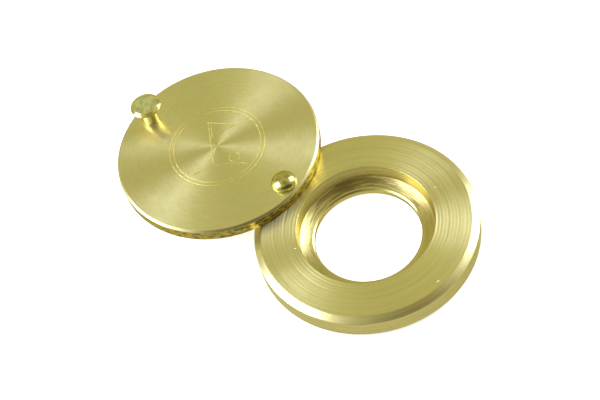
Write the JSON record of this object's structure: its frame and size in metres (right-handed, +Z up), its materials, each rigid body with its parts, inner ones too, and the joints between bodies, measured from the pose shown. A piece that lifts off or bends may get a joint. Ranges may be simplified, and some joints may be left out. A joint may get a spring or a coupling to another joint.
{
  "type": "swivel-cover ball marker",
  "caption": "Round turned-brass ring with a stepped through bore, and a flat brass cover disc that swings aside on a rivet and carries a mushroom thumb knob.",
  "frame": {"origin": "middle of the open marker's bounding box, at the level of the ring's underside", "axes": "+Z up out of the ring's face, +X from the open cover towards the ring along the longest side, +Y completes the frame"},
  "size_m": [0.0572, 0.0326, 0.0093],
  "materials": {
    "turned_brass": "face-turned and circular-brushed raw brass, satin, with fine concentric lathe marks, bright edges and a few specks",
    "polished_brass": "mirror-polished raw brass",
    "shim_brass": "dull rolled brass shim"
  },
  "bodies": {
    "base": {"base_ring": "turned_brass", "pivot_rivet": "polished_brass", "pivot_washer": "shim_brass"},
    "cover": {"cover_disc": "turned_brass", "thumb_knob": "polished_brass"}
  },
  "joints": [
    {"name": "cover_swing", "type": "hinge", "parent": "base", "child": "cover", "pos_m": [-0.00064, -0.00027, 0.0038], "axis": [0, 0, 1], "continuous": true}
  ]
}
